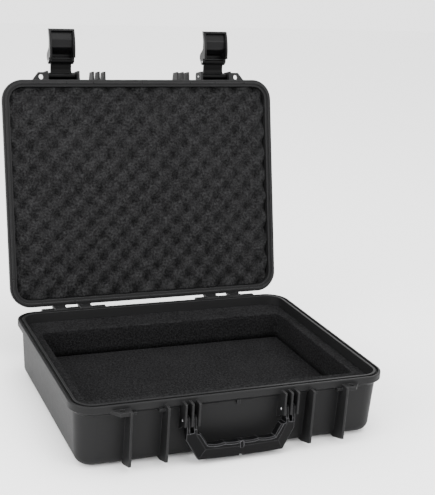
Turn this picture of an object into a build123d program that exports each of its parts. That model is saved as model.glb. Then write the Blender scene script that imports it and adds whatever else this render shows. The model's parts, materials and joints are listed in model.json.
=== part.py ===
"""Moulded hard case for a laptop: a deep base, a hinged lid, two pull-down latches and a folding handle.

Millimetres, +Z up, +Y to the hinges. The origin is in the middle of the base's underside.
Base pieces are drawn where they stand. Lid pieces are drawn on lid_plane, which is the closed lid's
rim plane turned up to the open stop, so local sizes read as if the case were shut. Latch pieces are
drawn on planes that hang from the lid's pivot pins in the same way.
"""
from build123d import *
from math import atan2, cos, degrees, radians, sin, sqrt, tan
import os

os.makedirs("parts", exist_ok=True)

# ---------------------------------------------------------------- driving dimensions
case_width = 460.0          # over the rim, left to right
case_depth = 359.0          # over the rim, front to back
base_height = 92.0          # underside to rim
lid_height = 45.0           # rim to the top of the ribs
corner_radius = 33.0        # of the rim, seen from above
lid_open_angle = 103.4      # where the lid rests on its stop
latch_open_angle = 78.0     # from hanging shut to standing open on the lid

wall = 3.6                  # shells
floor_thickness = 4.0       # bottom of the base and top of the lid
draft = 3.0                 # degrees, every moulded side wall
bottom_radius = 14.0        # outer edge between the base's walls and its bottom
foot_height = 1.6           # how far the feet stand below the bottom
foot_radius = 5.5
foot_recess = 1.2           # how deep a foot sits in the bottom
foot_inset = 44.0           # foot centre from the rim, both ways
root = 12.0                 # how far ribs, ears and knuckles run into the wall that carries them
overlap = 1.0               # how far a raised detail starts inside its body

# ---------------------------------------------------------------- rim, tongue and groove
rim_overhang = 7.0          # rim edge to the wall below it
rim_lip = 9.5               # height of the base's lip
band_height = 7.0           # sloped band from the lip down to the wall
nub_width = 5.0             # small stop under the band, in the middle of the front
nub_height = 3.0
lid_lip = 8.0               # height of the lid's lip
lid_overhang = 7.4          # rim edge to the lid's wall
seam_gap = 0.4              # between the two rims when shut
groove_inset = 5.2          # rim edge to the middle of the groove
groove_width = 4.2
groove_depth = 5.2
tongue_width = 2.6
tongue_height = 3.0
tongue_break = 1.4          # gaps in the tongue, which let it be pressed home piece by piece
tongue_break_x = (0.0, 83.0, 127.0, 180.0)
tongue_break_y = (0.0, 133.0)
edge_ease = 1.1             # softening of the rims' outer edges
seal_clearance = 0.3        # around the seal in its groove

# ---------------------------------------------------------------- ribs and brackets
rib_reach = 13.8            # past the rim's edge
rib_thickness = 3.4
rib_ease = 0.8              # softening of the front edges of ribs and ears
rib_spacing = 51.0          # between the two ribs of a pair
latch_x = 131.0             # middle of a latch, and of the hinge behind it
rib_top = 6.0               # below the rim
rib_foot_rise = 9.0         # front end of a rib above the bottom
rib_foot_drop = 0.4         # root end of a rib above the bottom
strike_drop = 6.0           # strikes' underside below the lip
strike_thickness = 5.0
strike_width = 8.3          # from the rib's side
strike_reach = 3.4          # past the rim's edge
strike_bevel = 1.5
padlock_hole_radius = 3.9
padlock_hole_x = 166.5
padlock_hole_reach = 4.4    # past the rim's edge
padlock_ear_thickness = 5.0
padlock_ear_drop = 6.5      # base's ear below the rim
lid_ear_rise = 1.0          # lid's ears, ribs and fins above its rim
padlock_ear_end_x = 181.0
padlock_ear_slope = 10.0
padlock_ear_setback = 2.0   # behind the ribs' front edges

# ---------------------------------------------------------------- lid top
roof_clearance = 0.7        # latch barrel to the roof over it
roof_thickness = 3.0
roof_setback = 1.0          # behind the ribs' front edges
roof_margin = 4.0           # around the sunk panel, left and right
roof_lip = 2.4              # around the sunk panel, front and back
roof_sink = 0.9
lid_rib_height = 4.0        # ribs above the lid's top skin
rib_over_roof = 1.0
lid_rib_rise = 3.0          # bevel and slope of a rib's front end above the roof
rib_run = 7.0               # lid's wall to where a rib reaches its full height
fin_rise = 10.0             # guard fins' rear end above the underside of the roof
outer_panel = (410.0, 295.0)
inner_panel = (368.0, 240.0)
label_recess = (158.0, 112.0)
panel_step = 1.2
panel_radius = 16.0
top_bevel = 5.0

# ---------------------------------------------------------------- hinges
hinge_back = 8.4            # hinge axis behind the rim's edge
hinge_drop = 6.8            # hinge axis below the base's rim
hinge_pin_radius = 2.0
knuckle_radius = 6.0
knuckle_count = 5
knuckle_pitch = 21.0
knuckle_gap = 1.6           # between the knuckles of the two shells
knuckle_web = 24.0          # foot of the web under a base knuckle, below the axis
knuckle_root = 6.0          # web of a lid knuckle, in from the rim edge
knuckle_clearance = 0.8     # web of a lid knuckle behind the rim edge
pin_clearance = 0.05        # running fit, on the radius
pin_bevel = 0.4

# ---------------------------------------------------------------- handle
handle_x = 72.0             # middle of each handle bracket
ear_pitch = 9.6
ear_thickness = 3.0
ear_top = 4.4               # below the rim
ear_web = 17.0              # root of an ear below the handle's axis
tine_clearance = 1.3        # between a tine and the ears beside it
handle_pin_reach = 4.2      # handle axis past the rim's edge
handle_pin_drop = 30.0      # handle axis below the rim
handle_pin_radius = 2.0
handle_pin_end = 0.8        # pin past the outer ears
handle_rest_angle = 8.0     # how far the grip hangs away from the wall
arm_elbow = 9.0             # outer corner of an arm below the tines' slots
arm_drop = 1.0              # inner corner of an arm below the tines' slots
tine_radius = 6.4
tine_slot_depth = 18.5      # from the axis to the web between the tines
handle_length = 56.0        # from the axis to the outer edge of the grip
grip_height = 21.0
grip_depth = 16.0
grip_half_width = 62.0
grip_inner_half_width = 49.0
grip_arch = 1.4             # rise of the grip's outer edge over its length
finger_count = 4
finger_hollow = 1.6
grip_slope = 15.0           # long bevel of the outer edges, along the face
grip_slope_depth = 4.5      # the same bevel, into the depth
grip_bevel = 2.2            # inner edges
grip_band = 5.0
grip_band_depth = 0.9

# ---------------------------------------------------------------- latches
latch_pin_radius = 2.0
link_pin_radius = 1.8
latch_pin_reach = 6.4       # lid pivot past the rim's edge
latch_pin_rise = 13.6       # lid pivot above the lid's rim
link_length = 24.0
link_lean = 2.5             # lower pivot further out than the upper one
link_barrel_radius = 4.3
link_eye_radius = 4.0
link_face = 6.4             # outer face out from the lid pivot
link_waist = 4.0            # thickness half-way down
link_width = 33.6
lever_width = 41.5
lever_wall = 3.4
lever_length = 50.0         # lower pivot to the free end
lever_plate = 2.8
lever_end_wall = 2.8
lever_bulge = 11.4          # outer face out from the lower pivot, beside it
lever_waist = 0.8           # outer face in from the lower pivot, half-way down
lever_flare = 5.6           # outer face out from the lower pivot, at the free end
lever_bend = 5.0
plate_start = 4.5           # top of the outer plate below the lower pivot
bulge_end = 10.5
waist_start = 21.0
waist_end = 34.0
cheek_tip = (-1.8, 5.4)     # upper end of a cheek, from the lower pivot
cheek_front = 4.2           # a cheek's front edge beside the strike
latch_side_clearance = 0.5
claw_clearance = 0.5        # claw below the strike
claw_length = 10.8
claw_end = 17.0             # lower end of the claw's straight front
lever_belly = 7.8           # cheeks' front edge half-way down, from the lower pivot
lever_end_depth = 6.4       # cheeks at the free end

# ---------------------------------------------------------------- foam
foam_gap = 0.5              # foam to shell
foam_drop = 13.8            # top of the base foam below the rim
bay_width = 400.0
bay_depth = 250.0
bay_height = 42.0
bay_offset = -4.0           # bay centre in front of the case's centre
bay_radius = 6.0
lid_foam_drop = 2.4         # foam below the lid's rim
crate_pitch = 26.0          # between two neighbouring pits of the egg-crate, along a diagonal
crate_depth = 14.0
crate_ridge = 4.4           # between two neighbouring pits
crate_taper = 32.0          # degrees, sides of a pit

# ---------------------------------------------------------------- worked-out places
bottom_z = 0.0
rim_z = bottom_z + base_height
lip_z = rim_z - rim_lip
band_z = lip_z - band_height
rim_front = -case_depth / 2
rim_back = case_depth / 2
rib_front = rim_front - rib_reach
wall_y = rim_front + rim_overhang
hinge_y = rim_back + hinge_back
hinge_z = rim_z - hinge_drop
slope = tan(radians(draft))
lid_skin = lid_height - lid_rib_height
strike_z = lip_z - strike_drop
handle_y = rim_front - handle_pin_reach
handle_z = rim_z - handle_pin_drop
lever_pin_z = rim_z + seam_gap + latch_pin_rise - link_length
claw_top = strike_z - claw_clearance - lever_pin_z      # from the lever's own pivot
foam_top_z = rim_z - foam_drop
bay_floor_z = foam_top_z - bay_height

turn_open = (
    Pos(0, hinge_y, hinge_z)
    * Rot(-lid_open_angle, 0, 0)
    * Pos(0, -hinge_y, rim_z + seam_gap - hinge_z)
)
lid_plane = Plane(turn_open)
latch_turn = Pos(0, rim_front - latch_pin_reach, latch_pin_rise) * Rot(-latch_open_angle, 0, 0)
link_plane = Plane(turn_open * latch_turn)
lever_plane = Plane(turn_open * latch_turn * Pos(0, -link_lean, -link_length))
handle_hang = Pos(0, handle_y, handle_z) * Rot(-handle_rest_angle, 0, 0)
handle_axis = Plane(handle_hang)
handle_front = Plane(handle_hang * Rot(90, 0, 0))


def across(home, x):
    """The plane that cuts home's piece front to back at x: its axes are home's Y and Z."""
    return Plane(home.from_local_coords((x, 0, 0)), x_dir=home.y_dir, z_dir=home.x_dir)


def edges_at(part, home, height):
    """The part's edges that lie flat at a height above home's plane."""
    level = home.offset(height)
    flat = part.edges().filter_by(lambda edge: abs(level.to_local_coords(edge.center()).Z) < 0.01)
    return flat.filter_by(lambda edge: abs(edge.tangent_at(0.5).dot(home.z_dir)) < 0.01)


def edges_along(part, home, reach):
    """The part's edges that run along home's Z at a distance in front of home's origin."""
    upright = part.edges().filter_by(lambda edge: abs(edge.tangent_at(0.5).dot(home.z_dir)) > 0.999)
    return upright.filter_by(lambda edge: abs(home.to_local_coords(edge.center()).Y + reach) < 0.01)


def rounded_plate(inset):
    """A sketch of the case's outline, drawn in from the rim's edge."""
    RectangleRounded(case_width - 2 * inset, case_depth - 2 * inset, corner_radius - inset)


def rounded_ring(middle, width):
    """A sketch of a ring that runs round the case, its middle line in from the rim's edge."""
    rounded_plate(middle - width / 2)
    offset(amount=-width, mode=Mode.SUBTRACT)


def knuckle(home, axis_z, web):
    """A hinge knuckle seen from the side: a round eye with a web back to its shell."""
    with BuildSketch(home) as lug:
        with BuildLine():
            Polyline(*web, close=True)
        make_face()
        with Locations((hinge_y, axis_z)):
            Circle(knuckle_radius)
    return lug.sketch


def knuckle_places(first):
    """Middles of one shell's knuckles on the right-hand hinge: every second one from first."""
    middle = (knuckle_count - 1) / 2
    return [latch_x + (i - middle) * knuckle_pitch for i in range(first, knuckle_count, 2)]


def padlock_ear(home):
    """The holed ear outside the outer rib, seen along home's Z."""
    front = rib_front + padlock_ear_setback
    with BuildSketch(home) as ear:
        with BuildLine():
            Polyline(
                (rib_places[1], rim_front + rim_overhang),
                (rib_places[1], front),
                (padlock_ear_end_x - padlock_ear_slope, front),
                (padlock_ear_end_x, rim_front + rib_ease),
                (padlock_ear_end_x, rim_front + rim_overhang),
                close=True,
            )
        make_face()
        with Locations((padlock_hole_x, rim_front - padlock_hole_reach)):
            Circle(padlock_hole_radius, mode=Mode.SUBTRACT)
    return ear.sketch


knuckle_width = knuckle_pitch - knuckle_gap
ear_places = [handle_x - ear_pitch, handle_x, handle_x + ear_pitch]
rib_places = [latch_x - rib_spacing / 2, latch_x + rib_spacing / 2]
latch_bay = rib_spacing - rib_thickness             # clear width between the two ribs of a pair
cavity_inset = rim_overhang + wall
lid_cavity_inset = lid_overhang + wall

# ---------------------------------------------------------------- base shell
with BuildPart() as base_shell:
    # drafted tub with a rounded bottom edge
    with BuildSketch(Plane.XY.offset(lip_z)):
        rounded_plate(rim_overhang)
    extrude(amount=-(lip_z - bottom_z), taper=draft)
    fillet(edges_at(base_shell.part, Plane.XY, bottom_z), bottom_radius)

    # rim lip, and the sloped band under it
    with BuildSketch(Plane.XY.offset(lip_z)):
        rounded_plate(0)
    extrude(amount=-band_height, taper=degrees(atan2(rim_overhang + overlap, band_height)))
    with BuildSketch(Plane.XY.offset(lip_z)):
        rounded_plate(0)
    extrude(amount=rim_lip)
    fillet(edges_at(base_shell.part, Plane.XY, rim_z), edge_ease)

    # guard ribs beside the latches
    for x in rib_places:
        with BuildSketch(across(Plane.XY, x)):
            with BuildLine():
                Polyline(
                    (wall_y + root, rim_z - rib_top),
                    (rib_front + rib_ease, rim_z - rib_top),
                    (rib_front, rim_z - rib_top - rib_ease),
                    (rib_front, bottom_z + rib_foot_rise),
                    (rib_front + 2 * rib_ease, bottom_z + rib_foot_rise - 2 * rib_ease),
                    (wall_y + rib_thickness, bottom_z + rib_foot_drop),
                    (wall_y + bottom_radius + rib_thickness, bottom_z + rib_foot_drop),
                    close=True,
                )
            make_face()
        extrude(amount=rib_thickness / 2, both=True)

    # strikes on the inner sides of the ribs, which the latch claws pull on
    strike_offset = (latch_bay - strike_width + rib_ease) / 2
    for x in (latch_x - strike_offset, latch_x + strike_offset):
        with BuildSketch(across(Plane.XY, x)):
            with BuildLine():
                Polyline(
                    (wall_y + wall, strike_z + strike_thickness),
                    (rim_front - strike_reach, strike_z + strike_thickness),
                    (rim_front - strike_reach, strike_z + strike_bevel),
                    (rim_front - strike_reach + strike_bevel, strike_z),
                    (wall_y + wall, strike_z),
                    close=True,
                )
            make_face()
        extrude(amount=(strike_width + rib_ease) / 2, both=True)

    extrude(padlock_ear(Plane.XY.offset(rim_z - padlock_ear_drop)), amount=-padlock_ear_thickness)

    # handle ears
    for x in ear_places:
        with BuildSketch(across(Plane.XY, x)):
            with BuildLine():
                Polyline(
                    (wall_y + root, rim_z - ear_top),
                    (rib_front + rib_ease, rim_z - ear_top),
                    (rib_front, rim_z - ear_top - rib_ease),
                    (rib_front, handle_z - tine_radius),
                    (handle_y, handle_z - ear_web / 2),
                    (wall_y, handle_z - ear_web),
                    (wall_y + root, handle_z - ear_web),
                    close=True,
                )
            make_face()
            with Locations((handle_y, handle_z)):
                Circle(handle_pin_radius + pin_clearance, mode=Mode.SUBTRACT)
        extrude(amount=ear_thickness / 2, both=True)

    chamfer(edges_along(base_shell.part, Plane.XY, -rib_front), rib_ease)

    # hinge knuckles
    for x in knuckle_places(0):
        web = [
            (rim_back - root, rim_z - edge_ease),
            (rim_back, rim_z - edge_ease),
            (hinge_y, hinge_z + knuckle_radius),
            (hinge_y + knuckle_radius, hinge_z),
            (hinge_y + knuckle_radius * cos(radians(45)), hinge_z - knuckle_radius * sin(radians(45))),
            (-wall_y, hinge_z - knuckle_web),
            (-wall_y - root, hinge_z - knuckle_web),
        ]
        extrude(knuckle(across(Plane.XY, x), hinge_z, web), amount=knuckle_width / 2, both=True)
    with BuildSketch(across(Plane.XY, latch_x)):
        with Locations((hinge_y, hinge_z)):
            Circle(hinge_pin_radius + pin_clearance)
    extrude(amount=knuckle_count * knuckle_pitch / 2, both=True, mode=Mode.SUBTRACT)

    mirror(about=Plane.YZ)

    # cavity, then the groove for the seal
    with BuildSketch(Plane.XY.offset(rim_z)):
        rounded_plate(cavity_inset)
    extrude(amount=-(base_height - floor_thickness), taper=draft, mode=Mode.SUBTRACT)
    fillet(edges_at(base_shell.part, Plane.XY, bottom_z + floor_thickness), bottom_radius - wall)
    with BuildSketch(Plane.XY.offset(rim_z)):
        rounded_ring(groove_inset, groove_width)
    extrude(amount=-groove_depth, mode=Mode.SUBTRACT)

    # small stop under the band
    with BuildSketch(Plane.XY.offset(band_z)):
        with Locations((0, wall_y)):
            Rectangle(nub_width, rim_overhang)
    extrude(amount=nub_height, both=True)

    # seats for the feet
    with Locations(Plane.XY.offset(bottom_z)):
        with GridLocations(case_width - 2 * foot_inset, case_depth - 2 * foot_inset, 2, 2):
            Cylinder(foot_radius + pin_clearance, foot_recess, align=(Align.CENTER, Align.CENTER, Align.MIN),
                     mode=Mode.SUBTRACT)
base_shell.part.label = "base_shell"
export_step(base_shell.part, "parts/base_shell.step")

# ---------------------------------------------------------------- seal, feet and base foam
with BuildPart() as seal_gasket:
    with BuildSketch(Plane.XY.offset(rim_z - groove_depth + seal_clearance)):
        rounded_ring(groove_inset, groove_width - 2 * seal_clearance)
    extrude(amount=groove_depth + seam_gap - tongue_height - 2 * seal_clearance)
seal_gasket.part.label = "seal_gasket"
export_step(seal_gasket.part, "parts/seal_gasket.step")

foot_x = case_width / 2 - foot_inset
foot_y = case_depth / 2 - foot_inset
foot_places = {
    "front_left": (-foot_x, -foot_y),
    "front_right": (foot_x, -foot_y),
    "back_left": (-foot_x, foot_y),
    "back_right": (foot_x, foot_y),
}
for name, (x, y) in foot_places.items():
    with BuildPart() as foot:
        with BuildSketch(Plane((x, y, bottom_z + foot_recess))):
            Circle(foot_radius)
        extrude(amount=-(foot_recess + foot_height))
        fillet(foot.edges().sort_by(Axis.Z)[0], foot_height * 0.6)
    foot.part.label = f"foot_{name}"
    export_step(foot.part, f"parts/foot_{name}.step")


def foam_inset(depth_below_rim):
    """How far the foam's edge lies in from the rim, where the drafted cavity has narrowed."""
    return cavity_inset + foam_gap + depth_below_rim * slope


with BuildPart() as base_foam_pad:
    pad_thickness = bay_floor_z - bottom_z - floor_thickness - seal_clearance
    with BuildSketch(Plane.XY.offset(bay_floor_z)):
        rounded_plate(foam_inset(rim_z - bay_floor_z))
    extrude(amount=-pad_thickness, taper=draft)
    fillet(edges_at(base_foam_pad.part, Plane.XY, bay_floor_z - pad_thickness), bottom_radius - wall)
base_foam_pad.part.label = "base_foam_pad"
export_step(base_foam_pad.part, "parts/base_foam_pad.step")

with BuildPart() as base_foam_frame:
    with BuildSketch(Plane.XY.offset(foam_top_z)):
        rounded_plate(foam_inset(foam_drop))
    extrude(amount=-(bay_height - seal_clearance), taper=draft)
    with BuildSketch(Plane.XY.offset(foam_top_z)):
        with Locations((0, bay_offset)):
            RectangleRounded(bay_width, bay_depth, bay_radius)
    extrude(amount=-bay_height, mode=Mode.SUBTRACT)
base_foam_frame.part.label = "base_foam_frame"
export_step(base_foam_frame.part, "parts/base_foam_frame.step")

# ---------------------------------------------------------------- lid shell
lid_wall_y = rim_front + lid_overhang
roof_z = latch_pin_rise + link_barrel_radius + roof_clearance
roof_top = roof_z + roof_thickness
roof_front = rib_front + roof_setback
roof_depth = lid_wall_y - roof_front


def inside_lip(point):
    """Whether a point of the lid lies inside the rim's outer edge."""
    clear_x = abs(point.X) < case_width / 2 - corner_radius
    clear_y = abs(point.Y) < case_depth / 2 - corner_radius
    near_wall = abs(point.X) < case_width / 2 - 1 and abs(point.Y) < case_depth / 2 - 1
    return near_wall and (clear_x or clear_y)


with BuildPart() as lid_shell:
    # drafted tray with a bevelled top edge
    with BuildSketch(lid_plane.offset(lid_lip)):
        rounded_plate(lid_overhang)
    extrude(amount=lid_skin - lid_lip, taper=draft)
    chamfer(edges_at(lid_shell.part, lid_plane, lid_skin), top_bevel)
    with BuildSketch(lid_plane):
        rounded_plate(edge_ease)
    extrude(amount=edge_ease, taper=-45)
    with BuildSketch(lid_plane.offset(edge_ease)):
        rounded_plate(0)
    extrude(amount=lid_lip - edge_ease)
    lip_edges = edges_at(lid_shell.part, lid_plane, lid_lip)
    fillet(
        lip_edges.filter_by(lambda edge: not inside_lip(lid_plane.to_local_coords(edge.center()))),
        edge_ease,
    )

    # raised panels on the top, and a bare recess for a label
    for size, height in ((outer_panel, panel_step), (inner_panel, 2 * panel_step)):
        with BuildSketch(lid_plane.offset(lid_skin - overlap)):
            RectangleRounded(*size, panel_radius)
        extrude(amount=overlap + height)
    with BuildSketch(lid_plane.offset(lid_skin + 2 * panel_step)):
        RectangleRounded(*label_recess, panel_radius / 2)
    extrude(amount=-panel_step, mode=Mode.SUBTRACT)

    # ribs that run over the lid from the latch ears to the hinges
    for x in rib_places:
        with BuildSketch(across(lid_plane, x)):
            with BuildLine():
                Polyline(
                    (rib_front, lid_ear_rise),
                    (rib_front, roof_top + rib_over_roof),
                    (rib_front + lid_rib_rise, roof_top + rib_over_roof + lid_rib_rise),
                    (lid_wall_y + overlap, roof_top + 2 * lid_rib_rise),
                    (lid_wall_y + rib_run, lid_height - rib_over_roof),
                    (lid_wall_y + rib_run + top_bevel, lid_height),
                    (-lid_wall_y - rib_run - top_bevel, lid_height),
                    (-lid_wall_y - rib_run, lid_height - rib_over_roof),
                    (-lid_wall_y, 2 * lid_lip),
                    (rim_back, lid_lip),
                    (rim_back, lid_ear_rise),
                    close=True,
                )
            make_face()
            with Locations((rim_front - latch_pin_reach, latch_pin_rise)):
                Circle(latch_pin_radius + pin_clearance, mode=Mode.SUBTRACT)
        extrude(amount=rib_thickness / 2, both=True)

    # roof over each latch, with a sunk panel
    with BuildSketch(lid_plane.offset(roof_z)):
        with Locations((latch_x, roof_front + (roof_depth + wall) / 2)):
            Rectangle(rib_spacing, roof_depth + wall)
    extrude(amount=roof_thickness)
    with BuildSketch(lid_plane.offset(roof_top)):
        with Locations((latch_x, roof_front + roof_depth / 2)):
            Rectangle(latch_bay - 2 * roof_margin, roof_depth - 2 * roof_lip)
    extrude(amount=-roof_sink, mode=Mode.SUBTRACT)

    extrude(padlock_ear(lid_plane.offset(lid_ear_rise)), amount=padlock_ear_thickness)

    # guard fins in line with the handle ears
    for x in ear_places:
        with BuildSketch(across(lid_plane, x)):
            with BuildLine():
                Polyline(
                    (roof_front, lid_ear_rise),
                    (roof_front, roof_z),
                    (lid_wall_y + overlap, roof_z + fin_rise),
                    (lid_wall_y + wall, roof_z + fin_rise),
                    (lid_wall_y + wall, lid_ear_rise),
                    close=True,
                )
            make_face()
        extrude(amount=ear_thickness / 2, both=True)

    # hinge knuckles
    lid_axis_z = -seam_gap - hinge_drop
    for x in knuckle_places(1):
        web = [
            (rim_back - knuckle_root, lid_ear_rise),
            (rim_back + knuckle_clearance, lid_ear_rise),
            (rim_back + 3 * knuckle_clearance, -lid_ear_rise),
            (hinge_y - knuckle_radius, lid_axis_z),
            (hinge_y + knuckle_radius, lid_axis_z),
            (hinge_y + knuckle_radius, 0),
            (rim_back, lid_lip + knuckle_radius),
            (rim_back - knuckle_root, lid_lip + knuckle_radius),
        ]
        extrude(knuckle(across(lid_plane, x), lid_axis_z, web), amount=knuckle_width / 2, both=True)
    with BuildSketch(across(lid_plane, latch_x)):
        with Locations((hinge_y, lid_axis_z)):
            Circle(hinge_pin_radius + pin_clearance)
    extrude(amount=knuckle_count * knuckle_pitch / 2, both=True, mode=Mode.SUBTRACT)

    mirror(about=Plane.YZ)

    # cavity, then the tongue that presses on the seal
    with BuildSketch(lid_plane):
        rounded_plate(lid_cavity_inset)
    extrude(amount=lid_skin - floor_thickness, taper=draft, mode=Mode.SUBTRACT)
    with BuildSketch(lid_plane):
        rounded_ring(groove_inset, tongue_width)
        for sign in (-1, 1):
            with Locations([(sign * x, 0) for x in tongue_break_x]):
                Rectangle(tongue_break, case_depth, mode=Mode.SUBTRACT)
            with Locations([(0, sign * y) for y in tongue_break_y]):
                Rectangle(case_width, tongue_break, mode=Mode.SUBTRACT)
    extrude(amount=-tongue_height)
lid_shell.part.label = "lid_shell"
export_step(lid_shell.part, "parts/lid_shell.step")

# ---------------------------------------------------------------- lid foam
with BuildPart() as lid_foam:
    foam_front = lid_plane.offset(lid_foam_drop)
    foam_edge = lid_cavity_inset + foam_gap + lid_foam_drop * slope
    with BuildSketch(foam_front):
        rounded_plate(foam_edge)
    extrude(amount=lid_skin - floor_thickness - lid_foam_drop - seal_clearance, taper=draft)

    # pits of the egg-crate: two sets of rows, one of them between the other's
    pit = crate_pitch - crate_ridge
    row_pitch = crate_pitch * sqrt(2)
    clear_x = (case_width / 2 - foam_edge - pit / sqrt(2)) / row_pitch
    clear_y = (case_depth / 2 - foam_edge - pit / sqrt(2)) / row_pitch
    middle_set = (2 * int(clear_x) + 1, 2 * int(clear_y) + 1)
    between_set = (2 * int(clear_x + 0.5), 2 * int(clear_y + 0.5))
    with BuildSketch(foam_front):
        for columns, rows in (middle_set, between_set):
            with GridLocations(row_pitch, row_pitch, columns, rows):
                Rectangle(pit, pit, rotation=45)
    extrude(amount=crate_depth, taper=crate_taper, mode=Mode.SUBTRACT)
lid_foam.part.label = "lid_foam"
export_step(lid_foam.part, "parts/lid_foam.step")

# ---------------------------------------------------------------- hinge pins
for name, sign in (("left", -1), ("right", 1)):
    with BuildPart() as hinge_pin:
        with BuildSketch(across(Plane.XY, sign * latch_x)):
            with Locations((hinge_y, hinge_z)):
                Circle(hinge_pin_radius)
        extrude(amount=(knuckle_count * knuckle_pitch - knuckle_gap) / 2, both=True)
        chamfer(hinge_pin.edges(), pin_bevel)
    hinge_pin.part.label = f"hinge_pin_{name}"
    export_step(hinge_pin.part, f"parts/hinge_pin_{name}.step")

# ---------------------------------------------------------------- handle and its pins
tine_inner = handle_x - ear_pitch + ear_thickness / 2 + tine_clearance
tine_outer = handle_x + ear_pitch - ear_thickness / 2 - tine_clearance
slot_half = ear_thickness / 2 + tine_clearance
grip_inner = handle_length - grip_height
finger_pitch = 2 * grip_inner_half_width / finger_count


def on_outer_edge(edge):
    """Whether an edge of the handle's front or back runs along its outer side, below the tines."""
    place = handle_front.to_local_coords(edge.center())
    below = place.Y < -tine_slot_depth - arm_elbow
    return below and (place.Y < -handle_length + 0.1 or abs(place.X) > grip_half_width)


def on_inner_edge(edge):
    """Whether an edge of the handle's front or back runs along the fingers' side."""
    place = handle_front.to_local_coords(edge.center())
    at_face = abs(abs(place.Z) - grip_depth / 2) < 0.01
    return at_face and abs(place.X) < tine_inner - tine_radius and place.Y > -grip_inner - finger_hollow - 1


with BuildPart() as handle:
    # grip and arms, seen from the front, with a hollow under each finger
    with BuildSketch(handle_front):
        with BuildLine():
            ThreePointArc(
                (-grip_half_width, -handle_length),
                (0, -handle_length - grip_arch),
                (grip_half_width, -handle_length),
            )
            for sign in (-1, 1):
                Polyline(
                    (sign * grip_half_width, -handle_length),
                    (sign * tine_outer, -tine_slot_depth - arm_elbow),
                    (sign * tine_outer, -tine_slot_depth + tine_radius),
                    (sign * tine_inner, -tine_slot_depth + tine_radius),
                    (sign * tine_inner, -tine_slot_depth),
                    (sign * (tine_inner - tine_radius), -tine_slot_depth - arm_drop),
                    (sign * grip_inner_half_width, -grip_inner),
                )
            for finger in range(finger_count):
                start = grip_inner_half_width - finger * finger_pitch
                ThreePointArc(
                    (start, -grip_inner),
                    (start - finger_pitch / 2, -grip_inner - finger_hollow),
                    (start - finger_pitch, -grip_inner),
                )
        make_face()
    extrude(amount=grip_depth / 2, both=True)
    for face in handle.faces().filter_by(lambda face: abs(face.normal_at().dot(handle_front.z_dir)) > 0.999):
        chamfer(face.edges().filter_by(on_outer_edge), grip_slope, grip_slope_depth, reference=face)
    chamfer(handle.edges().filter_by(on_inner_edge), grip_bevel)

    # tines that straddle the middle ear, and the slots between them
    for sign in (-1, 1):
        with BuildSketch(across(handle_axis, sign * (tine_inner + tine_outer) / 2)):
            Circle(tine_radius)
            with Locations((0, -tine_slot_depth / 2)):
                Rectangle(2 * tine_radius, tine_slot_depth)
        extrude(amount=(tine_outer - tine_inner) / 2, both=True)
        with BuildSketch(across(handle_axis, sign * handle_x)):
            Circle(tine_slot_depth)
        extrude(amount=slot_half, both=True, mode=Mode.SUBTRACT)
        with BuildSketch(across(handle_axis, sign * handle_x)):
            Circle(handle_pin_radius + pin_clearance)
        extrude(amount=ear_pitch, both=True, mode=Mode.SUBTRACT)

    # sunk band around the middle of the grip
    with BuildSketch(across(handle_axis, 0)):
        with Locations((0, -handle_length + grip_height / 2)):
            Rectangle(2 * grip_depth, 2 * grip_height)
            Rectangle(grip_depth - 2 * grip_band_depth, grip_height - 2 * grip_band_depth,
                      mode=Mode.SUBTRACT)
    extrude(amount=grip_band / 2, both=True, mode=Mode.SUBTRACT)
handle.part.label = "handle"
export_step(handle.part, "parts/handle.step")

for name, sign in (("left", -1), ("right", 1)):
    with BuildPart() as handle_pin:
        with BuildSketch(across(handle_axis, sign * handle_x)):
            Circle(handle_pin_radius)
        extrude(amount=ear_pitch + ear_thickness / 2 + handle_pin_end, both=True)
        chamfer(handle_pin.edges(), pin_bevel)
    handle_pin.part.label = f"handle_pin_{name}"
    export_step(handle_pin.part, f"parts/handle_pin_{name}.step")

# ---------------------------------------------------------------- latches
barrel_width = latch_bay - 2 * latch_side_clearance
swing = radians(latch_open_angle)
stop_reach = rib_reach - roof_setback - latch_pin_reach + latch_side_clearance
shoulder = (stop_reach - link_face * cos(swing)) / sin(swing)   # meets the roof's front when open
eye = (-link_lean, -link_length)


def lever_back(shift, end):
    """The lever's outer face from beside its pivot to its flared end, moved inwards by shift."""
    return FilletPolyline(
        (-lever_bulge + shift, -plate_start),
        (-lever_bulge + shift, -bulge_end),
        (lever_waist + shift, -waist_start),
        (lever_waist + shift, -waist_end),
        (-lever_flare + shift, -end),
        radius=lever_bend,
    )


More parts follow.
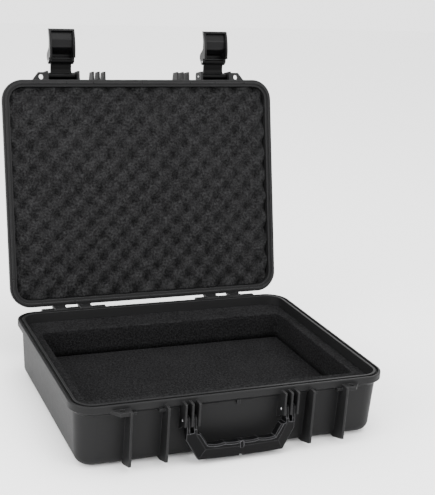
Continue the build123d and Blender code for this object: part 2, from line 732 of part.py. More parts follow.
for name, sign in (("left", -1), ("right", 1)):
    middle = sign * latch_x

    # link: a barrel between the lid's ears, and a bowed plate down to the lever's pivot
    with BuildPart() as link:
        with BuildSketch(across(link_plane, middle)):
            Circle(link_barrel_radius)
        extrude(amount=barrel_width / 2, both=True)
        with BuildSketch(across(link_plane, middle)):
            with Locations(eye):
                Circle(link_eye_radius)
            with BuildLine():
                Polyline(
                    (eye[0] + link_eye_radius, eye[1]),
                    (eye[0] - link_eye_radius, eye[1]),
                    (-link_face, -shoulder),
                    (-link_barrel_radius, 0),
                    (link_barrel_radius, 0),
                )
                ThreePointArc(
                    (link_barrel_radius, 0),
                    (-link_face + link_waist, -link_length / 2),
                    (eye[0] + link_eye_radius, eye[1]),
                )
            make_face()
        extrude(amount=link_width / 2, both=True)
        with BuildSketch(across(link_plane, middle)):
            Circle(latch_pin_radius + pin_clearance)
            with Locations(eye):
                Circle(link_pin_radius + pin_clearance)
        extrude(amount=barrel_width / 2, both=True, mode=Mode.SUBTRACT)
    link.part.label = f"latch_link_{name}"
    export_step(link.part, f"parts/latch_link_{name}.step")

    # lever: a curved plate between two leaf-shaped cheeks that end in claws
    with BuildPart() as lever:
        with BuildSketch(across(lever_plane, middle)):
            with BuildLine():
                back = lever_back(0, lever_length)
                Line(cheek_tip, back @ 0)
                front_end = (back @ 1) + Vector(lever_end_depth, 0)
                Line(back @ 1, front_end)
                ThreePointArc(
                    front_end,
                    (lever_belly, -(lever_length + claw_end) / 2),
                    (claw_length, -claw_end),
                )
                Polyline(
                    (claw_length, -claw_end),
                    (claw_length, claw_top),
                    (cheek_front, claw_top),
                    (cheek_front, 0),
                    cheek_tip,
                )
            make_face()
        extrude(amount=lever_width / 2, both=True)
        with BuildSketch(across(lever_plane, middle)):
            with BuildLine():
                inner = lever_back(lever_plate, lever_length - lever_end_wall)
                Polyline(
                    inner @ 1,
                    (2 * claw_length, (inner @ 1).Y),
                    (2 * claw_length, 2 * cheek_tip[1]),
                    (-2 * lever_bulge, 2 * cheek_tip[1]),
                    (-2 * lever_bulge, (inner @ 0).Y),
                    inner @ 0,
                )
            make_face()
        extrude(amount=lever_width / 2 - lever_wall, both=True, mode=Mode.SUBTRACT)
        with BuildSketch(across(lever_plane, middle)):
            Circle(link_pin_radius + pin_clearance)
        extrude(amount=lever_width, both=True, mode=Mode.SUBTRACT)
    lever.part.label = f"latch_lever_{name}"
    export_step(lever.part, f"parts/latch_lever_{name}.step")

    # the two pins
    with BuildPart() as latch_pin:
        with BuildSketch(across(link_plane, middle)):
            Circle(latch_pin_radius)
        extrude(amount=(rib_spacing + rib_thickness) / 2, both=True)
        chamfer(latch_pin.edges(), pin_bevel)
    latch_pin.part.label = f"latch_pin_{name}"
    export_step(latch_pin.part, f"parts/latch_pin_{name}.step")
    with BuildPart() as link_pin:
        with BuildSketch(across(lever_plane, middle)):
            Circle(link_pin_radius)
        extrude(amount=lever_width / 2, both=True)
        chamfer(link_pin.edges(), pin_bevel)
    link_pin.part.label = f"link_pin_{name}"
    export_step(link_pin.part, f"parts/link_pin_{name}.step")
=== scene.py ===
"""Foam, latch webs, finishes and stage for a moulded laptop hard case."""
import json
import math

import bmesh
import bpy
from bpy.props import FloatProperty, FloatVectorProperty, IntProperty, PointerProperty
from mathutils import Matrix, Vector, noise


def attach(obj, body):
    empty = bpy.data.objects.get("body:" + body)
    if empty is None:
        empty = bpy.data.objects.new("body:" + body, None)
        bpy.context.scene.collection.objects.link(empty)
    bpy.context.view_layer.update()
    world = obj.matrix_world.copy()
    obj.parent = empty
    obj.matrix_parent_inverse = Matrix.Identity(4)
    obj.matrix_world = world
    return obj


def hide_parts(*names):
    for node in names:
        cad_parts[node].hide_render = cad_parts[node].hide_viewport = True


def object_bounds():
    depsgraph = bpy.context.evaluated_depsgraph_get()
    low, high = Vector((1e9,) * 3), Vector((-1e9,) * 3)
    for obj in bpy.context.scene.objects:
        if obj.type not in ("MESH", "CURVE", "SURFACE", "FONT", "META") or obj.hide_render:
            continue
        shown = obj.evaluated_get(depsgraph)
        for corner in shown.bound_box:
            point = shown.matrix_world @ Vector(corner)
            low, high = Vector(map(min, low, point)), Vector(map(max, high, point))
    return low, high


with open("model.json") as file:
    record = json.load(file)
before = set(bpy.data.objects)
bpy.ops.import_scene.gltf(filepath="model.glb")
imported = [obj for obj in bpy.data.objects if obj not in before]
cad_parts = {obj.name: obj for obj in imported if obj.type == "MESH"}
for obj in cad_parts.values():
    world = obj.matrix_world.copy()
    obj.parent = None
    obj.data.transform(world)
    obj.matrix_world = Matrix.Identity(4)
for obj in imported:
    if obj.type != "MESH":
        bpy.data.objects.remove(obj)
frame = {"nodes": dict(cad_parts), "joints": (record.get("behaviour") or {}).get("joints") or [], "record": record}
CAD_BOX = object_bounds()

bl_info = {
    "name": "Laptop hard case",
    "version": (1, 0, 0),
    "blender": (4, 5, 0),
    "location": "View3D > Sidebar > Case",
    "description": "Builds the foam and finishes of a laptop hard case around its packed frame",
    "category": "Object",
}

MM = 0.001
TOLERANCE = 0.05 * MM                       # points closer than this share a side or a level

# reading the solids' points
LEVEL_REACH = 0.5 * MM                      # how far from a level a point still counts as on it
FRAME_MARGIN = 12 * MM                      # nearer the frame's outer edge no point is the bay's

# meshes
UNIT_GRID = 0.5                             # half the side of a grid one metre wide
CORNER_SEGMENTS = 8                         # facets round an upright foam corner
BEVEL_PROFILE = 0.5                         # round
LID_DRIFT = 9 * MM                          # width of the low swells on the lid's foam
FRAME_DRIFT = 16 * MM                       # the same on the foam frame
PAD_DRIFT = 30 * MM                         # the same on the pad under the bay
FRAME_SEED = 1                              # without one, Blender's noise follows the clock
CREST_POWER = 0.45                          # under 1: broad peaks between narrow pits
FRAME_STEP = 9 * MM                         # distance between the points of the foam frame
PAD_STEP = 7 * MM                           # the same on the pad
PAD_TAPER = (0.965, 0.955, 1.0)             # the pad's underside against its top, across and deep
LONG_EDGE = 1.6                             # steps; a longer edge is split
SPLIT_ROUNDS = 7
WEB_GRID = (4, 14)                          # faces across a latch web and along its curl
CURL_SHARE = 0.2                            # how much of a web's depth its curled lip takes
CURL_POWER = 2                              # the lip rises as a parabola
WEB_EDGE_SHARE = 0.25                       # bevel of a web's edges, of its thickness
WEB_EDGE_SEGMENTS = 2
SHARP_TURN = 1.0                            # radians between two faces that meet at a sharp edge

# stage
IMAGE_SIZE = (435, 495)                     # width and height of the rendered image
SENSOR_WIDTH = 36.0                         # millimetres
CLIP_RANGE = (0.02, 60.0)
FLOOR_REACH = 6.0                           # from the floor's middle to its edge
SURROUND = 2.6                              # strength of the white surround
SOFT_BOXES = (                              # name, place, aim, width in metres, power in watts
    ("left_box", (-2.2, -0.9, 1.3), (0, 0, 0.2), 1.6, 60),
    ("right_box", (1.1, -2.2, 1.7), (0, 0, 0.25), 1.3, 24),
    ("top_box", (0.2, -0.4, 2.6), (0, 0.05, 0.1), 1.8, 60),
)


# ---------------------------------------------------------------- sizes and colours
class CaseFoamSizes(bpy.types.PropertyGroup):
    """Sizes of the soft lining, in metres."""

    crate_pitch: FloatProperty(
        name="Egg-crate pitch", description="Distance between two peaks of the lid's foam",
        default=26 * MM, unit="LENGTH")
    crate_depth: FloatProperty(
        name="Egg-crate depth", description="From the peaks to the pits of the lid's foam",
        default=12.5 * MM, unit="LENGTH")
    crate_step: FloatProperty(
        name="Egg-crate step", description="Distance between the points of the lid foam's surface",
        default=2.4 * MM, unit="LENGTH")
    edge_radius: FloatProperty(
        name="Foam edge", description="Softening of the cut edges of the foam",
        default=2.0 * MM, unit="LENGTH")
    waviness: FloatProperty(
        name="Waviness", description="How far the cut foam strays from flat",
        default=0.45 * MM, unit="LENGTH")
    edge_segments: IntProperty(
        name="Edge segments", description="Facets across a softened foam edge", default=3)


class CaseLatchSizes(bpy.types.PropertyGroup):
    """Sizes of the web inside each latch lever, in metres."""

    web_reach: FloatProperty(
        name="Web reach", description="From the lever's pivot out to the web's outer edge",
        default=9.2 * MM, unit="LENGTH")
    web_front: FloatProperty(
        name="Web front", description="From the lever's pivot in to the web's inner edge",
        default=3.7 * MM, unit="LENGTH")
    web_drop: FloatProperty(
        name="Web drop", description="From the lever's pivot to the web",
        default=4.4 * MM, unit="LENGTH")
    web_thickness: FloatProperty(
        name="Web thickness", description="Thickness of the web",
        default=1.2 * MM, unit="LENGTH")
    web_lip: FloatProperty(
        name="Web lip", description="How far the web's inner edge curls round the link's eye",
        default=0.9 * MM, unit="LENGTH")
    cheek: FloatProperty(
        name="Cheek", description="Thickness of a lever's cheek, which the web reaches into",
        default=1.6 * MM, unit="LENGTH")


class CaseColours(bpy.types.PropertyGroup):
    """Colours of the moulded, rubber, foam and metal pieces."""

    shell: FloatVectorProperty(
        name="Shell", description="Grained black polypropylene", subtype="COLOR", size=3,
        default=(0.00756, 0.00756, 0.00778))
    latch: FloatVectorProperty(
        name="Latch", description="Smooth black plastic of the latches", subtype="COLOR", size=3,
        default=(0.00259, 0.00259, 0.00274))
    # Painted shade: the links get a darker copy of the latch plastic, because they stand in shade.
    link: FloatVectorProperty(
        name="Latch link", description="Deep black plastic of the latch links",
        subtype="COLOR", size=3,
        default=(0.00115, 0.00115, 0.00122))
    handle: FloatVectorProperty(
        name="Handle", description="Satin black plastic of the handle", subtype="COLOR", size=3,
        default=(0.00274, 0.00274, 0.00288))
    foam: FloatVectorProperty(
        name="Foam", description="Charcoal open-cell foam", subtype="COLOR", size=3,
        default=(0.0083, 0.0083, 0.0085))
    # Painted shade: a darker copy of the charcoal foam for the base, whose top takes more light from above.
    shaded_foam: FloatVectorProperty(
        name="Plank foam", description="Firmer, darker foam of the base", subtype="COLOR", size=3,
        default=(0.00576, 0.00576, 0.00598))
    seal: FloatVectorProperty(
        name="Seal", description="Black rubber of the seal and feet", subtype="COLOR", size=3,
        default=(0.00576, 0.00576, 0.00576))
    pin: FloatVectorProperty(
        name="Pin", description="Drawn steel of the pins", subtype="COLOR", size=3,
        default=(0.58, 0.58, 0.59))
    floor: FloatVectorProperty(
        name="Floor", description="Pale studio floor", subtype="COLOR", size=3,
        default=(0.94, 0.94, 0.94))


class CaseCamera(bpy.types.PropertyGroup):
    """Where the camera stands and how it looks at the open case."""

    place: FloatVectorProperty(
        name="Place", description="Where the camera stands", subtype="TRANSLATION", size=3,
        default=(-0.55894, -1.35449, 0.67786))
    target: FloatVectorProperty(
        name="Target", description="The point that the camera looks at",
        subtype="TRANSLATION", size=3,
        default=(-0.02082, 0.0, 0.22950))
    roll: FloatProperty(
        name="Roll", description="Turn of the camera about its own line of sight",
        default=math.radians(3.179), unit="ROTATION")
    focal_pixels: FloatProperty(
        name="Focal length", description="Focal length in pixels of the image", default=1057.3)
    centre_x: FloatProperty(
        name="Centre across", description="Pixel column of the line of sight", default=184.1)
    centre_y: FloatProperty(
        name="Centre down", description="Pixel row of the line of sight", default=255.0)


# ---------------------------------------------------------------- shader writing
class Signal:
    """A number that changes over a surface. Arithmetic on it adds Math nodes to its finish."""

    def __init__(self, finish, socket):
        self.finish = finish
        self.socket = socket

    def _math(self, operation, *values):
        return self.finish.node("ShaderNodeMath", {"operation": operation}, dict(enumerate(values)))

    def __add__(self, other):
        return self._math("ADD", self, other)

    def __radd__(self, other):
        return self._math("ADD", other, self)

    def __sub__(self, other):
        return self._math("SUBTRACT", self, other)

    def __rsub__(self, other):
        return self._math("SUBTRACT", other, self)

    def __mul__(self, other):
        return self._math("MULTIPLY", self, other)

    def __rmul__(self, other):
        return self._math("MULTIPLY", other, self)

    def clamp(self):
        """The signal held between 0 and 1."""
        return self.finish.node("ShaderNodeClamp", {}, {"Value": self})


class Finish:
    """A procedural material under construction."""

    def __init__(self, name):
        self.material = bpy.data.materials.new(name)
        self.material.use_nodes = True
        self.tree = self.material.node_tree
        self.surface = self.tree.nodes["Principled BSDF"]
        self.object_space = self.node("ShaderNodeTexCoord", {}, {}, "Object")

    def node(self, kind, settings, inputs, output=0):
        """Adds one node with its settings and inputs, and gives one of its outputs."""
        made = self.tree.nodes.new(kind)
        for key, value in settings.items():
            if key == "stops":
                ramp = made.color_ramp
                ramp.elements[0].position, ramp.elements[0].color = value[0]
                ramp.elements[1].position, ramp.elements[1].color = value[-1]
                for position, colour in value[1:-1]:
                    ramp.elements.new(position).color = colour
            else:
                setattr(made, key, value)
        for key, value in inputs.items():
            self.link(made.inputs[key], value)
        return Signal(self, made.outputs[output])

    def link(self, socket, value):
        """Feeds a socket with a signal, a number or a colour."""
        if isinstance(value, Signal):
            self.tree.links.new(value.socket, socket)
        elif socket.type == "RGBA" and len(value) == 3:
            socket.default_value = (*value, 1.0)
        else:
            socket.default_value = value

    def set(self, **values):
        """Sets sockets of the surface; an underscore in a name stands for a space."""
        for key, value in values.items():
            self.link(self.surface.inputs[key.replace("_", " ")], value)

    def noise(self, scale, detail, roughness):
        """Cloudy noise, with its size given as clumps per metre."""
        return self.node("ShaderNodeTexNoise", {}, {
            "Vector": self.object_space, "Scale": scale, "Detail": detail, "Roughness": roughness})

    def cells(self, scale):
        """Distance to the nearest of scattered points, with their number given per metre."""
        return self.node("ShaderNodeTexVoronoi", {}, {
            "Vector": self.object_space, "Scale": scale})

    def blend_colours(self, mask, dark, light):
        """A colour between two, by a mask from 0 to 1."""
        return self.node("ShaderNodeMix", {"data_type": "RGBA"}, {
            "Factor": mask, 6: dark, 7: light}, 2)

    def painted_edge_highlight(self, radius, sharpness):
        """How sharply the surface turns, from 0 on flats to 1 on edges, as a mask for painted edge highlights, and
        its rounded normal.
        """
        rounded = self.node("ShaderNodeBevel", {"samples": 4}, {"Radius": radius})
        plain = self.node("ShaderNodeNewGeometry", {}, {}, "Normal")
        along = self.node("ShaderNodeVectorMath", {"operation": "DOT_PRODUCT"}, {
            0: rounded, 1: plain}, "Value")
        return ((1 - along) * sharpness).clamp(), rounded

    def relief(self, height, distance, strength, normal=None):
        """Turns a height signal into a bumped normal."""
        inputs = {"Height": height, "Distance": distance, "Strength": strength}
        if normal is not None:
            inputs["Normal"] = normal
        return self.node("ShaderNodeBump", {}, inputs)


def scaled(colour, factor):
    """A colour made lighter or darker."""
    return tuple(min(1.0, channel * factor) for channel in colour)


def moulded_plastic(name, colour, roughness, gloss, grain, edge_radius, sharpness, edge_highlight_gain):
    """Black plastic from a spark-eroded mould: fine pits, faint flow clouds and painted highlights along its
    edges.
    """
    finish = Finish(name)
    clouds = finish.noise(14, 4.0, 0.6)
    mottle = finish.noise(160, 3.0, 0.6)
    pits = finish.noise(1500, 2.0, 0.6)
    edge_highlight, rounded = finish.painted_edge_highlight(edge_radius, sharpness)
    tone = (clouds * 0.55 + mottle * 0.45).clamp()
    base = finish.blend_colours(tone, scaled(colour, 0.86), scaled(colour, 1.16))
    # Painted highlight: the edges are lightened in the base colour, standing in for the light they catch.
    edge_highlighted = finish.blend_colours(edge_highlight * 0.6 * (0.4 + mottle), base, scaled(colour, edge_highlight_gain))
    finish.set(
        Base_Color=edge_highlighted,
        Roughness=(roughness - 0.06 + clouds * 0.05 + mottle * 0.09 - edge_highlight * 0.05).clamp(),
        Specular_IOR_Level=gloss,
        Normal=finish.relief(pits, 0.12 * MM, grain, rounded),
    )
    return finish.material


def glossy_plastic(name, colour, gloss):
    """Smooth latch plastic, a little scuffed, with a soft gloss and painted highlights along its edges."""
    finish = Finish(name)
    clouds = finish.noise(30, 3.0, 0.6)
    scuffs = finish.noise(420, 4.0, 0.7)
    edge_highlight, rounded = finish.painted_edge_highlight(radius=0.8 * MM, sharpness=5.0)
    base = finish.blend_colours(clouds, scaled(colour, 0.9), scaled(colour, 1.2))
    finish.set(
        # Painted highlight: the edges are lightened fourfold in the base colour.
        Base_Color=finish.blend_colours(edge_highlight * 0.5, base, scaled(colour, 4.0)),
        Roughness=(0.20 + scuffs * 0.14 + clouds * 0.06).clamp(),
        Specular_IOR_Level=gloss,
        Normal=finish.relief(scuffs, 0.05 * MM, 0.15, rounded),
    )
    return finish.material


def open_cell_foam(name, colour):
    """Charcoal polyurethane foam: torn cells of different sizes, dull, with pale specks."""
    finish = Finish(name)
    small = finish.cells(1150)
    large = finish.cells(430)
    clumps = finish.noise(330, 4.0, 0.75)
    clouds = finish.noise(22, 2.0, 0.5)
    height = small * 0.7 + large * 0.5 + clumps * 0.9
    speck = (clumps * 3.2 - 1.42 + small * 0.3).clamp()
    tone = (speck * 0.8 + clouds * 0.2).clamp()
    finish.set(
        Base_Color=finish.blend_colours(tone, scaled(colour, 0.18), scaled(colour, 3.7)),
        Roughness=0.97,
        Specular_IOR_Level=0.035,
        Normal=finish.relief(height, 1.1 * MM, 0.85),
    )
    return finish.material


def soft_rubber(name, colour):
    """Matte black rubber with a faint bloom."""
    finish = Finish(name)
    bloom = finish.noise(90, 3.0, 0.6)
    pores = finish.noise(1800, 2.0, 0.5)
    finish.set(
        Base_Color=finish.blend_colours(bloom, scaled(colour, 0.8), scaled(colour, 1.5)),
        Roughness=(0.68 + bloom * 0.16).clamp(),
        Specular_IOR_Level=0.11,
        Normal=finish.relief(pores, 0.06 * MM, 0.3),
    )
    return finish.material


def drawn_steel(name, colour):
    """Bright steel rod, drawn lengthways, with turned ends."""
    finish = Finish(name)
    stretched = finish.node("ShaderNodeMapping", {}, {
        "Vector": finish.object_space, "Scale": (60, 4200, 4200)})
    lines = finish.node("ShaderNodeTexNoise", {}, {
        "Vector": stretched, "Scale": 1.0, "Detail": 3.0})
    finish.set(
        Base_Color=finish.blend_colours(lines, scaled(colour, 0.85), scaled(colour, 1.15)),
        Metallic=1.0,
        Roughness=(0.20 + lines * 0.16).clamp(),
        Normal=finish.relief(lines, 0.02 * MM, 0.3),
    )
    return finish.material


# ---------------------------------------------------------------- where the lid and latches stand
JOINTS = {joint["name"]: joint for joint in frame["joints"]}


def opening_spin(name):
    """The turn about a joint's axis from its shut end to where it stands open."""
    joint = JOINTS[name]
    return Matrix.Rotation(math.radians(-min(joint["range_deg"])), 4, Vector(joint["axis"]))


def opening_turn():
    """The turn that carries the shut lid to where it stands open."""
    pivot = Vector(JOINTS["lid_hinge"]["pos_m"])
    return Matrix.Translation(pivot) @ opening_spin("lid_hinge") @ Matrix.Translation(-pivot)


def lever_stand(side):
    """From a shut lever's own axes, with its pivot at zero, to where it stands open."""
    pivot = Vector(JOINTS[f"latch_{side}_lever"]["pos_m"])
    spin = opening_spin("lid_hinge") @ opening_spin(f"latch_{side}_swing")
    return Matrix.Translation(pivot) @ spin


def points_of(node, turn):
    """The corner points of a CAD node after a turn."""
    return [turn @ vertex.co for vertex in frame["nodes"][node].data.vertices]


def extent(points):
    """Lowest and highest corner of some points."""
    low = Vector([min(point[axis] for point in points) for axis in range(3)])
    high = Vector([max(point[axis] for point in points) for axis in range(3)])
    return low, high


def at_level(points, height):
    """The points that lie at a height."""
    return [point for point in points if abs(point.z - height) < LEVEL_REACH]


def slice_extent(points, height):
    """Width and depth of the points at a height."""
    low, high = extent(at_level(points, height))
    return high.x - low.x, high.y - low.y


def corner_radius_of(points, height, width, depth):
    """The radius of upright corners at a height, from where the straight sides end."""
    side = [point for point in at_level(points, height)
            if abs(abs(point.x) - width / 2) < TOLERANCE]
    low, high = extent(side)
    return (depth - (high.y - low.y)) / 2


def bay_of(points, height, width, depth):
    """Width, depth, middle and corner radius of the bay cut through the foam frame."""
    inner = [point for point in at_level(points, height)
             if abs(point.x) < width / 2 - FRAME_MARGIN and abs(point.y) < depth / 2 - FRAME_MARGIN]
    low, high = extent(inner)
    bay_width, bay_depth = high.x - low.x, high.y - low.y
    radius = corner_radius_of(inner, height, bay_width, bay_depth)
    return bay_width, bay_depth, (low.y + high.y) / 2, radius


# ---------------------------------------------------------------- mesh helpers
def finished(bm, name, body, material):
    """Makes an object of a bmesh, dresses it and lets it ride on its body."""
    bmesh.ops.recalc_face_normals(bm, faces=bm.faces[:])
    mesh = bpy.data.meshes.new(name)
    bm.to_mesh(mesh)
    bm.free()
    mesh.shade_smooth()
    piece = bpy.data.objects.new(name, mesh)
    bpy.context.scene.collection.objects.link(piece)
    mesh.materials.append(material)
    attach(piece, body)
    return piece


def onto_round_corners(point, half_width, half_depth, radius):
    """Moves a point of a rectangle inwards where it lies beyond the rectangle's round corners."""
    over_x = abs(point.x) - (half_width - radius)
    over_y = abs(point.y) - (half_depth - radius)
    if over_x <= 0 or over_y <= 0:
        return
    pull = max(over_x, over_y) / math.hypot(over_x, over_y)
    point.x = math.copysign(half_width - radius + over_x * pull, point.x)
    point.y = math.copysign(half_depth - radius + over_y * pull, point.y)


def rounded_grid(bm, width, depth, radius, step):
    """A level grid with round corners and about a step between its points; gives its rim."""
    bmesh.ops.create_grid(
        bm, x_segments=round(width / step), y_segments=round(depth / step), size=UNIT_GRID)
    bmesh.ops.scale(bm, vec=(width, depth, 1), verts=bm.verts[:])
    for vertex in bm.verts:
        onto_round_corners(vertex.co, width / 2, depth / 2, radius)
    return [edge for edge in bm.edges if edge.is_boundary]


def walls_from(bm, rim):
    """Walls of no height round a rim; gives their far points."""
    made = bmesh.ops.extrude_edge_only(bm, edges=rim)["geom"]
    return [item for item in made if isinstance(item, bmesh.types.BMVert)]


def close_end(bm):
    """Fills the one open end of a mesh."""
    bmesh.ops.contextual_create(bm, geom=[edge for edge in bm.edges if edge.is_boundary])


def rounded_loop(bm, width, depth, radius, height, centre_y):
    """A closed loop of edges round a rectangle with round corners."""
    made = bmesh.ops.create_grid(bm, x_segments=1, y_segments=1, size=UNIT_GRID)
    corners = made["verts"]
    bmesh.ops.scale(bm, vec=(width, depth, 1), verts=corners)
    bmesh.ops.translate(bm, vec=(0, centre_y, height), verts=corners)
    rounded = bmesh.ops.bevel(
        bm, geom=corners, offset=radius, offset_type="OFFSET", affect="VERTICES",
        segments=CORNER_SEGMENTS, profile=BEVEL_PROFILE, material=-1)
    face = next(face for face in bm.faces if rounded["verts"][0] in face.verts)
    edges = face.edges[:]
    bmesh.ops.delete(bm, geom=[face], context="FACES_ONLY")
    return edges


def divide(bm, step):
    """Splits long edges until none is much longer than a step."""
    for _ in range(SPLIT_ROUNDS):
        long_edges = [edge for edge in bm.edges if edge.calc_length() > LONG_EDGE * step]
        if not long_edges:
            return
        bmesh.ops.subdivide_edges(bm, edges=long_edges, cuts=1, use_grid_fill=True)


# ---------------------------------------------------------------- pieces
class CASE_OT_lid_foam(bpy.types.Operator):
    """Egg-crate foam that lines the lid"""

    bl_idname = "case.lid_foam"
    bl_label = "Lid foam"

    def execute(self, context):
        sizes = context.scene.case_foam_sizes
        shut = opening_turn().inverted()
        points = points_of("lid_foam", shut)
        low, high = extent(points)
        width, depth = slice_extent(points, low.z)
        back_width, back_depth = slice_extent(points, high.z)
        radius = corner_radius_of(points, low.z, width, depth)
        bm = bmesh.new()
        rim = rounded_grid(bm, width, depth, radius, sizes.crate_step)
        wave = math.pi / sizes.crate_pitch * math.sqrt(2)   # peaks stand in diagonal rows
        for vertex in bm.verts:
            x, y = vertex.co.x, vertex.co.y
            crest = 0.5 - 0.5 * math.cos(wave * x) * math.cos(wave * y)
            drift = noise.noise(Vector((x, y, 0)) / LID_DRIFT) * sizes.waviness
            vertex.co.z = (1 - crest ** CREST_POWER) * sizes.crate_depth + abs(drift)
        for vertex in walls_from(bm, rim):
            vertex.co.x *= back_width / width
            vertex.co.y *= back_depth / depth
            vertex.co.z = high.z - low.z
        close_end(bm)
        bmesh.ops.translate(bm, vec=(0, (low.y + high.y) / 2, low.z), verts=bm.verts[:])
        bmesh.ops.transform(bm, matrix=opening_turn(), verts=bm.verts[:])
        foam = finished(bm, "egg_crate_foam", "lid", bpy.data.materials["charcoal_foam"])
        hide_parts("lid_foam")
        return {"FINISHED"}


class CASE_OT_base_foam(bpy.types.Operator):
    """Foam frame round the laptop bay, and the pad under the bay"""

    bl_idname = "case.base_foam"
    bl_label = "Base foam"

    def execute(self, context):
        self.frame_piece(context.scene.case_foam_sizes)
        self.pad_piece(context.scene.case_foam_sizes)
        return {"FINISHED"}

    def frame_piece(self, sizes):
        """The frame, with a rounded top edge inside and out."""
        points = points_of("base_foam_frame", Matrix.Identity(4))
        low, high = extent(points)
        width, depth = slice_extent(points, high.z)
        foot_width, foot_depth = slice_extent(points, low.z)
        outer_radius = corner_radius_of(points, high.z, width, depth)
        bay_width, bay_depth, bay_middle, bay_radius = bay_of(points, high.z, width, depth)
        bm = bmesh.new()
        rings = []
        for height, wide, deep in ((low.z, foot_width, foot_depth), (high.z, width, depth)):
            inside = rounded_loop(bm, bay_width, bay_depth, bay_radius, height, bay_middle)
            outside = rounded_loop(bm, wide, deep, outer_radius, height, (low.y + high.y) / 2)
            rings.append((inside, outside))
        (low_in, low_out), (top_in, top_out) = rings
        for pair in ((low_in, low_out), (top_in, top_out), (low_in, top_in), (low_out, top_out)):
            bmesh.ops.bridge_loops(bm, edges=[*pair[0], *pair[1]])
        top_edges = [edge for edge in bm.edges
                     if min(vertex.co.z for vertex in edge.verts) > high.z - TOLERANCE
                     and len({round(face.normal.z, 1) for face in edge.link_faces}) > 1]
        bmesh.ops.recalc_face_normals(bm, faces=bm.faces[:])
        bmesh.ops.bevel(
            bm, geom=top_edges, offset=sizes.edge_radius, affect="EDGES",
            segments=sizes.edge_segments, profile=BEVEL_PROFILE, material=-1, clamp_overlap=True)
        divide(bm, FRAME_STEP)
        noise.seed_set(FRAME_SEED)
        for vertex in bm.verts:
            push = noise.noise_vector(vertex.co / FRAME_DRIFT)
            vertex.co -= vertex.normal * (abs(push.x) * sizes.waviness)
        foam = finished(bm, "bay_foam_frame", "base", bpy.data.materials["shaded_base_foam"])
        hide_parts("base_foam_frame")

    def pad_piece(self, sizes):
        """The pad, a slab whose middle is the floor of the bay."""
        points = points_of("base_foam_pad", Matrix.Identity(4))
        low, high = extent(points)
        width, depth = slice_extent(points, high.z)
        radius = corner_radius_of(points, high.z, width, depth)
        bm = bmesh.new()
        rim = rounded_grid(bm, width, depth, radius, PAD_STEP)
        for vertex in bm.verts:
            vertex.co.z = high.z - abs(noise.noise(vertex.co / PAD_DRIFT)) * sizes.waviness
        foot = walls_from(bm, rim)
        bmesh.ops.scale(bm, vec=PAD_TAPER, verts=foot)
        for vertex in foot:
            vertex.co.z = low.z
        close_end(bm)
        foam = finished(bm, "bay_floor_pad", "base", bpy.data.materials["shaded_base_foam"])
        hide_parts("base_foam_pad")


class CASE_OT_latch_webs(bpy.types.Operator):
    """Curled web across each latch lever, just past its pivot"""

    bl_idname = "case.latch_webs"
    bl_label = "Latch webs"

    def execute(self, context):
        for side in ("left", "right"):
            self.web(context.scene.case_latch_sizes, side)
        return {"FINISHED"}

    def web(self, sizes, side):
        """A thin shelf whose inner edge curls round the link's eye."""
        low, high = extent(points_of(f"latch_lever_{side}", Matrix.Identity(4)))
        width = high.x - low.x - sizes.cheek                # half a cheek into each side
        bm = bmesh.new()
        bmesh.ops.create_grid(bm, x_segments=WEB_GRID[0], y_segments=WEB_GRID[1], size=UNIT_GRID)
        for vertex in bm.verts:
            along = UNIT_GRID - vertex.co.y                 # 0 at the inner edge, 1 at the outer
            vertex.co.x *= width
            vertex.co.y = (1 - along) * sizes.web_front - along * sizes.web_reach
            vertex.co.z = sizes.web_lip * max(0.0, 1 - along / CURL_SHARE) ** CURL_POWER
        bmesh.ops.solidify(bm, geom=bm.faces[:], thickness=sizes.web_thickness)
        top = max(vertex.co.z for vertex in bm.verts if vertex.co.y < 0)
        bmesh.ops.translate(bm, vec=(0, 0, -sizes.web_drop - top), verts=bm.verts[:])
        sharp = [edge for edge in bm.edges if edge.calc_face_angle() > SHARP_TURN]
        bmesh.ops.bevel(
            bm, geom=sharp, offset=sizes.web_thickness * WEB_EDGE_SHARE, affect="EDGES",
            segments=WEB_EDGE_SEGMENTS, profile=BEVEL_PROFILE, material=-1, clamp_overlap=True)
        bmesh.ops.transform(bm, matrix=lever_stand(side), verts=bm.verts[:])
        material = bpy.data.materials["glossy_latch_plastic"]
        finished(bm, f"latch_web_{side}", f"lever_{side}", material)


class CASE_OT_finishes(bpy.types.Operator):
    """Materials of the moulded, rubber and steel pieces"""

    bl_idname = "case.finishes"
    bl_label = "Finishes"

    def execute(self, context):
        colours = context.scene.case_colours
        # The last three numbers set the painted edge highlight: its reach, its sharpness and how bright it is.
        grained = moulded_plastic(
            "grained_shell_plastic", colours.shell, roughness=0.50, gloss=0.10, grain=0.42,
            edge_radius=0.9 * MM, sharpness=7.0, edge_highlight_gain=6.5)
        satin = moulded_plastic(
            "satin_handle_plastic", colours.handle, roughness=0.42, gloss=0.05, grain=0.25,
            edge_radius=1.3 * MM, sharpness=20.0, edge_highlight_gain=42.0)
        glossy = glossy_plastic("glossy_latch_plastic", colours.latch, gloss=0.115)
        # The links wear a darker, duller copy of the latch plastic: painted shade.
        deep = glossy_plastic("shaded_link_plastic", colours.link, gloss=0.045)
        rubber = soft_rubber("matte_rubber", colours.seal)
        steel = drawn_steel("drawn_steel", colours.pin)
        open_cell_foam("charcoal_foam", colours.foam)
        # The base's foam is the same foam made darker: painted shade.
        open_cell_foam("shaded_base_foam", colours.shaded_foam)
        by_slot = {"shell": grained, "handle": satin, "latches": glossy, "seal": rubber,
                   "feet": rubber, "pins": steel}
        for part in frame["record"]["subparts"]:
            if part["material_slot"] == "foam":             # the foam pieces replace these nodes
                continue
            link = part["node"].startswith("latch_link")
            slots = frame["nodes"][part["node"]].data.materials
            slots.clear()
            slots.append(deep if link else by_slot[part["material_slot"]])
        return {"FINISHED"}


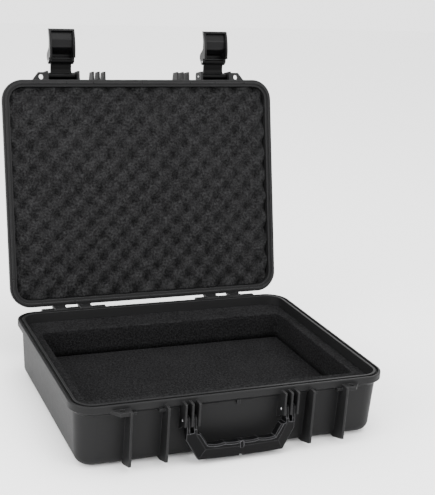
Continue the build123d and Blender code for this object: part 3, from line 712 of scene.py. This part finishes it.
class CASE_OT_stage(bpy.types.Operator):
    """Pale floor, soft lights and the camera"""

    bl_idname = "case.stage"
    bl_label = "Stage"

    def execute(self, context):
        self.floor(context)
        self.lights(context)
        self.camera(context)
        return {"FINISHED"}

    def floor(self, context):
        """A wide pale floor under the feet."""
        bm = bmesh.new()
        bmesh.ops.create_grid(bm, x_segments=1, y_segments=1, size=FLOOR_REACH)
        bmesh.ops.translate(bm, vec=(0, 0, CAD_BOX[0].z), verts=bm.verts[:])
        mesh = bpy.data.meshes.new("studio_floor")
        bm.to_mesh(mesh)
        bm.free()
        floor = bpy.data.objects.new("studio_floor", mesh)
        context.scene.collection.objects.link(floor)
        finish = Finish("pale_floor")
        finish.set(Base_Color=tuple(context.scene.case_colours.floor), Roughness=0.9)
        mesh.materials.append(finish.material)

    def lights(self, context):
        """Broad soft boxes to the left, right and above, and a white surround."""
        world = bpy.data.worlds.new("studio")
        context.scene.world = world
        world.use_nodes = True
        background = world.node_tree.nodes["Background"]
        background.inputs["Color"].default_value = (1, 1, 1, 1)
        background.inputs["Strength"].default_value = SURROUND
        for name, place, aim, width, power in SOFT_BOXES:
            light = bpy.data.lights.new(name, "AREA")
            light.shape = "DISK"
            light.size = width
            light.energy = power
            lamp = bpy.data.objects.new(name, light)
            lamp.location = place
            lamp.rotation_mode = "QUATERNION"
            lamp.rotation_quaternion = (Vector(aim) - Vector(place)).to_track_quat("-Z", "Y")
            context.scene.collection.objects.link(lamp)

    def camera(self, context):
        """The camera, at the angle from which the case is usually shown."""
        settings = context.scene.case_camera
        place, target = Vector(settings.place), Vector(settings.target)
        back = (place - target).normalized()
        right = (-back).cross(Vector((0, 0, 1))).normalized()
        up = right.cross(-back)
        roll = settings.roll
        camera_x = math.cos(roll) * right + math.sin(roll) * up
        camera_y = -math.sin(roll) * right + math.cos(roll) * up
        turn = Matrix((camera_x, camera_y, back)).transposed().to_4x4()
        data = bpy.data.cameras.new("camera")
        long_side = max(IMAGE_SIZE)
        data.sensor_width = SENSOR_WIDTH
        data.lens = settings.focal_pixels * data.sensor_width / long_side
        data.shift_x = (IMAGE_SIZE[0] / 2 - settings.centre_x) / long_side
        data.shift_y = (settings.centre_y - IMAGE_SIZE[1] / 2) / long_side
        data.clip_start, data.clip_end = CLIP_RANGE
        camera = bpy.data.objects.new("camera", data)
        camera.matrix_world = Matrix.Translation(place) @ turn
        context.scene.collection.objects.link(camera)
        context.scene.camera = camera


class CASE_PT_panel(bpy.types.Panel):
    """Lists the sizes, colours and steps of the case"""

    bl_label = "Laptop hard case"
    bl_idname = "CASE_PT_panel"
    bl_space_type = "VIEW_3D"
    bl_region_type = "UI"
    bl_category = "Case"

    def draw(self, context):
        scene = context.scene
        for group, kind in SETTINGS.items():
            column = self.layout.column(align=True)
            for name in kind.__annotations__:
                column.prop(getattr(scene, group), name)
        for operator in STEPS:
            self.layout.operator(operator.bl_idname)


SETTINGS = {
    "case_foam_sizes": CaseFoamSizes,
    "case_latch_sizes": CaseLatchSizes,
    "case_colours": CaseColours,
    "case_camera": CaseCamera,
}
STEPS = (CASE_OT_finishes, CASE_OT_lid_foam, CASE_OT_base_foam, CASE_OT_latch_webs, CASE_OT_stage)


def register():
    for kind in (*SETTINGS.values(), *STEPS, CASE_PT_panel):
        bpy.utils.register_class(kind)
    for name, kind in SETTINGS.items():
        setattr(bpy.types.Scene, name, PointerProperty(type=kind))


def unregister():
    for name in SETTINGS:
        delattr(bpy.types.Scene, name)
    for kind in reversed((*SETTINGS.values(), *STEPS, CASE_PT_panel)):
        bpy.utils.unregister_class(kind)


def main():
    """Builds the whole scene."""
    register()
    bpy.ops.case.finishes()
    bpy.ops.case.lid_foam()
    bpy.ops.case.base_foam()
    bpy.ops.case.latch_webs()
    bpy.ops.case.stage()


if __name__ == "__main__":
    main()
